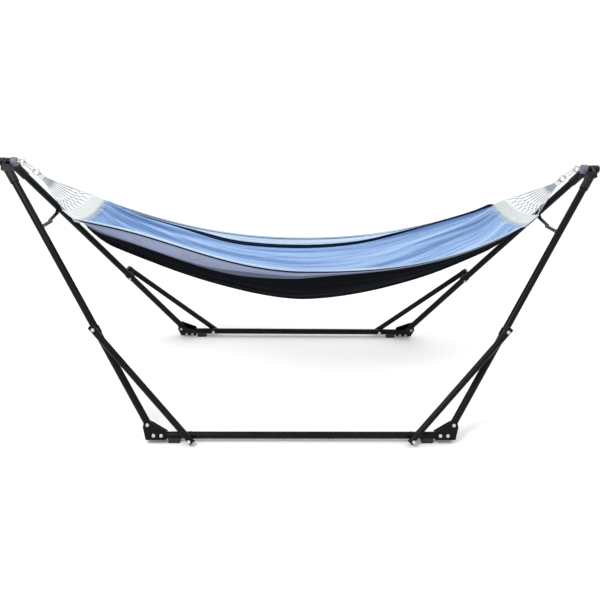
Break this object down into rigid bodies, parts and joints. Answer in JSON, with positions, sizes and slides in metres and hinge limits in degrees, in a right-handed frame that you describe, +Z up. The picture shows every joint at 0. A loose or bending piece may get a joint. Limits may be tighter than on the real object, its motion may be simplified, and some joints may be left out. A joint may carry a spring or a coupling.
{
  "type": "hammock on stand",
  "caption": "Striped cloth hammock slung from a folding double A-frame stand of black steel tube.",
  "frame": {"origin": "on the floor under the middle of the hammock", "axes": "+X along the hammock to its right end, +Y from the front frame to the rear frame, +Z up"},
  "size_m": [2.392, 1.0434, 0.9949],
  "materials": {
    "black_powder_coat": "gloss powder coat",
    "black_moulding": "moulded, satin gloss",
    "grey_moulding": "moulded, satin",
    "zinc_steel": "bright zinc plate",
    "plug_plastic": "moulded, matte",
    "foot_rubber": "moulded rubber",
    "striped_cotton": "woven cotton in lengthwise stripes",
    "white_braid": "open braid",
    "clew_cord": "twisted cotton cord"
  },
  "bodies": {
    "front_frame": {"apex_pin_left": "zinc_steel", "apex_pin_right": "zinc_steel", "front_arm_left": "black_powder_coat", "front_arm_right": "black_powder_coat", "front_base_tube": "black_powder_coat", "front_brace_bolts": "zinc_steel", "front_brace_left": "black_powder_coat", "front_brace_right": "black_powder_coat", "front_bracket_bolts": "zinc_steel", "front_bracket_left": "black_powder_coat", "front_bracket_right": "black_powder_coat", "front_clamp_left": "black_powder_coat", "front_clamp_right": "black_powder_coat", "front_end_plugs": "plug_plastic", "front_feet": "foot_rubber", "front_head_left": "black_moulding", "front_head_right": "black_moulding", "front_lock_nuts": "zinc_steel", "front_pivot_bolts": "zinc_steel", "front_stay_lugs": "black_powder_coat", "front_stay_rivets": "zinc_steel", "hub_caps": "black_moulding", "hub_collars": "grey_moulding"},
    "rear_frame": {"rear_arm_left": "black_powder_coat", "rear_arm_right": "black_powder_coat", "rear_base_tube": "black_powder_coat", "rear_brace_bolts": "zinc_steel", "rear_brace_left": "black_powder_coat", "rear_brace_right": "black_powder_coat", "rear_bracket_bolts": "zinc_steel", "rear_bracket_left": "black_powder_coat", "rear_bracket_right": "black_powder_coat", "rear_clamp_left": "black_powder_coat", "rear_clamp_right": "black_powder_coat", "rear_end_plugs": "plug_plastic", "rear_feet": "foot_rubber", "rear_head_left": "black_moulding", "rear_head_right": "black_moulding", "rear_lock_nuts": "zinc_steel", "rear_pivot_bolts": "zinc_steel", "rear_stay_lugs": "black_powder_coat", "rear_stay_rivets": "zinc_steel"},
    "front_stay_right": {"front_stay_link_right": "black_powder_coat", "stay_rivet_right": "zinc_steel"},
    "front_stay_left": {"front_stay_link_left": "black_powder_coat", "stay_rivet_left": "zinc_steel"},
    "rear_stay_right": {"rear_stay_link_right": "black_powder_coat"},
    "rear_stay_left": {"rear_stay_link_left": "black_powder_coat"},
    "hammock": {"carabiner_left": "zinc_steel", "carabiner_right": "zinc_steel", "clew_cords_left": "clew_cord", "clew_cords_right": "clew_cord", "clew_rings": "zinc_steel", "clew_whippings": "clew_cord", "cloth": "striped_cotton", "end_band_left": "white_braid", "end_band_right": "white_braid"},
    "gate_right": {"carabiner_gate_right": "zinc_steel"},
    "gate_left": {"carabiner_gate_left": "zinc_steel"}
  },
  "joints": [
    {"name": "frame_fold", "type": "hinge", "parent": "front_frame", "child": "rear_frame", "pos_m": [0, 0, 0.977], "axis": [-1, 0, 0], "range_deg": [0, 45]},
    {"name": "hammock_swing", "type": "hinge", "parent": "front_frame", "child": "hammock", "pos_m": [0, 0, 0.977], "axis": [1, 0, 0], "range_deg": [-25, 25]},
    {"name": "front_stay_right_fold", "type": "hinge", "parent": "front_frame", "child": "front_stay_right", "pos_m": [1.02406, -0.11011, 0.74584], "axis": [-1, 0, 0], "range_deg": [0, 102]},
    {"name": "rear_stay_right_fold", "type": "hinge", "parent": "rear_frame", "child": "rear_stay_right", "pos_m": [1.02406, 0.11011, 0.74584], "axis": [1, 0, 0], "range_deg": [0, 102]},
    {"name": "front_stay_left_fold", "type": "hinge", "parent": "front_frame", "child": "front_stay_left", "pos_m": [-1.02406, -0.11011, 0.74584], "axis": [-1, 0, 0], "range_deg": [0, 102]},
    {"name": "rear_stay_left_fold", "type": "hinge", "parent": "rear_frame", "child": "rear_stay_left", "pos_m": [-1.02406, 0.11011, 0.74584], "axis": [1, 0, 0], "range_deg": [0, 102]},
    {"name": "gate_right_open", "type": "hinge", "parent": "hammock", "child": "gate_right", "pos_m": [1.07051, 0.013, 0.95138], "axis": [0.6779, 0, -0.7352], "range_deg": [0, 20], "stiffness_Nm_per_rad": 0.02, "springref_deg": -20.05},
    {"name": "gate_left_open", "type": "hinge", "parent": "hammock", "child": "gate_left", "pos_m": [-1.07051, 0.013, 0.95138], "axis": [0.6779, 0, 0.7352], "range_deg": [0, 20], "stiffness_Nm_per_rad": 0.02, "springref_deg": -20.05}
  ],
  "couplings": [
    {"joint": "front_stay_right_fold", "follows": "frame_fold", "ratio": 2.2577},
    {"joint": "rear_stay_right_fold", "follows": "frame_fold", "ratio": 2.2577},
    {"joint": "front_stay_left_fold", "follows": "frame_fold", "ratio": 2.2577},
    {"joint": "rear_stay_left_fold", "follows": "frame_fold", "ratio": 2.2577}
  ]
}
